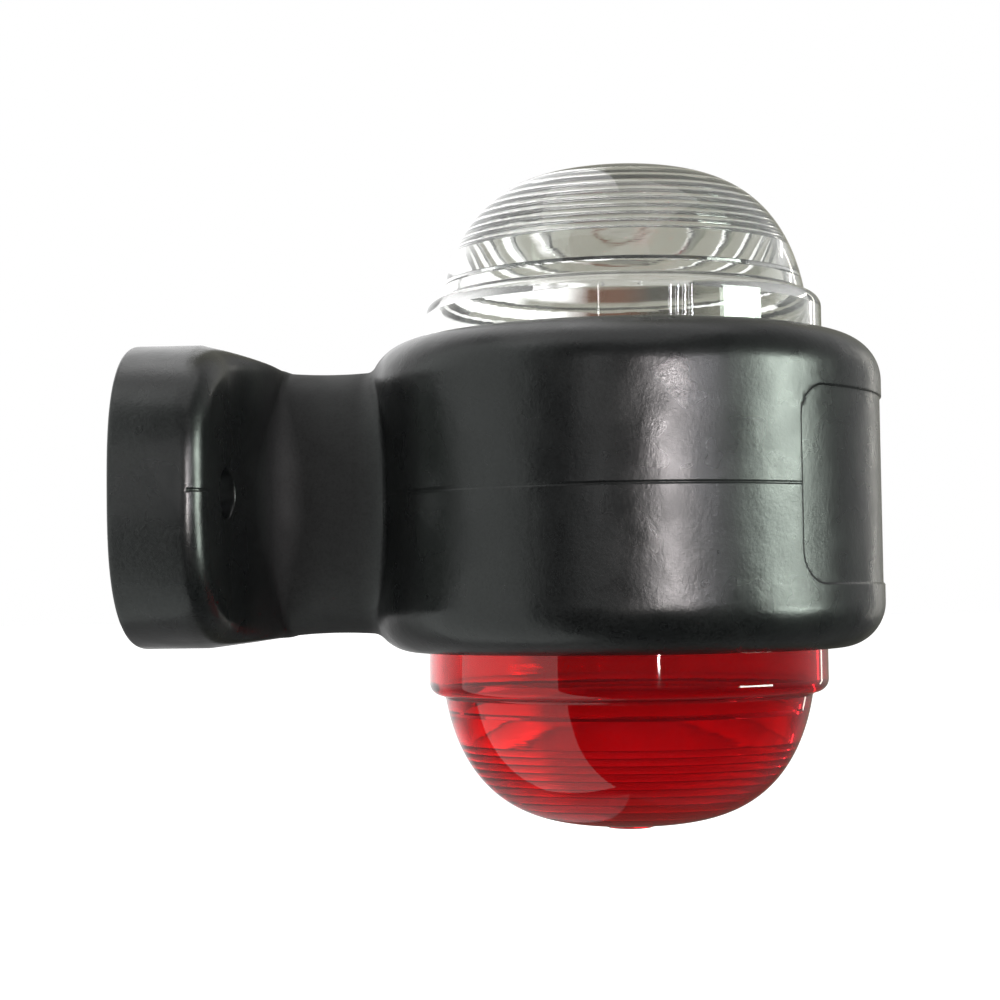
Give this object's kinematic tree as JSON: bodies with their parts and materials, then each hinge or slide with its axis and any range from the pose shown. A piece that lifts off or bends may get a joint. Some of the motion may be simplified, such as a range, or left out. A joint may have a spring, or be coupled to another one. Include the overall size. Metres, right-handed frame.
{
  "type": "outline marker lamp",
  "caption": "Rubber-bodied lamp on a flexible stub arm, with a clear dome facing one way and a red dome facing the other, lit by a shared bayonet bulb.",
  "frame": {"origin": "centre of the mounting foot's back face, where the cable passage comes out", "axes": "+X along the stub arm away from the wall, +Z towards the clear lens, -Z towards the red lens, Y along the mounting foot"},
  "size_m": [0.1025, 0.074, 0.0952],
  "materials": {
    "black_rubber": "moulded satin rubber",
    "clear_plastic": "clear moulded plastic with concentric rings",
    "red_plastic": "deep red transparent moulded plastic",
    "zinc_plated_steel": "bright zinc plate",
    "brass": "drawn brass",
    "spring_steel": "drawn wire",
    "insulating_board": "matt phenolic board",
    "black_glass": "glossy black glass insulator",
    "solder": "dull solder",
    "bulb_glass": "clear blown glass",
    "tungsten": "drawn tungsten wire"
  },
  "bodies": {
    "foot": {"mounting_foot": "black_rubber", "near_screw_sleeve": "zinc_plated_steel", "far_screw_sleeve": "zinc_plated_steel", "flex_neck": "black_rubber"},
    "head": {"lamp_housing": "black_rubber", "socket_barrel": "brass", "socket_base": "insulating_board", "live_terminal": "brass", "earth_terminal": "brass", "live_rivet": "brass", "earth_rivet": "brass", "contact_spring": "spring_steel"},
    "plunger": {"contact_carrier": "insulating_board", "centre_contact": "brass"},
    "bulb": {"bulb_cap": "brass", "upper_bayonet_pin": "brass", "lower_bayonet_pin": "brass", "cap_insulator": "black_glass", "solder_contact": "solder", "bulb_glass": "bulb_glass", "glass_stem": "bulb_glass", "near_filament_support": "spring_steel", "far_filament_support": "spring_steel", "bulb_filament": "tungsten"},
    "clear_lens": {"clear_lens": "clear_plastic"},
    "red_lens": {"red_lens": "red_plastic"}
  },
  "joints": [
    {"name": "neck_bend", "type": "hinge", "parent": "foot", "child": "head", "pos_m": [0.022, 0, 0], "axis": [0, 1, 0], "range_deg": [-15, 15], "stiffness_Nm_per_rad": 20, "deforming": ["flex_neck"]},
    {"name": "contact_push", "type": "slide", "parent": "head", "child": "plunger", "axis": [-1, 0, 0], "range_m": [0, 0.002], "stiffness_N_per_m": 1500, "springref_m": -0.002, "deforming": ["contact_spring"]},
    {"name": "bulb_turn", "type": "hinge", "parent": "plunger", "child": "bulb", "pos_m": [0.0475, 0, 0], "axis": [1, 0, 0], "range_deg": [0, 20]},
    {"name": "clear_lens_pull", "type": "slide", "parent": "head", "child": "clear_lens", "axis": [0, 0, 1], "range_m": [0, 0.03]},
    {"name": "red_lens_pull", "type": "slide", "parent": "head", "child": "red_lens", "axis": [0, 0, -1], "range_m": [0, 0.03]}
  ]
}
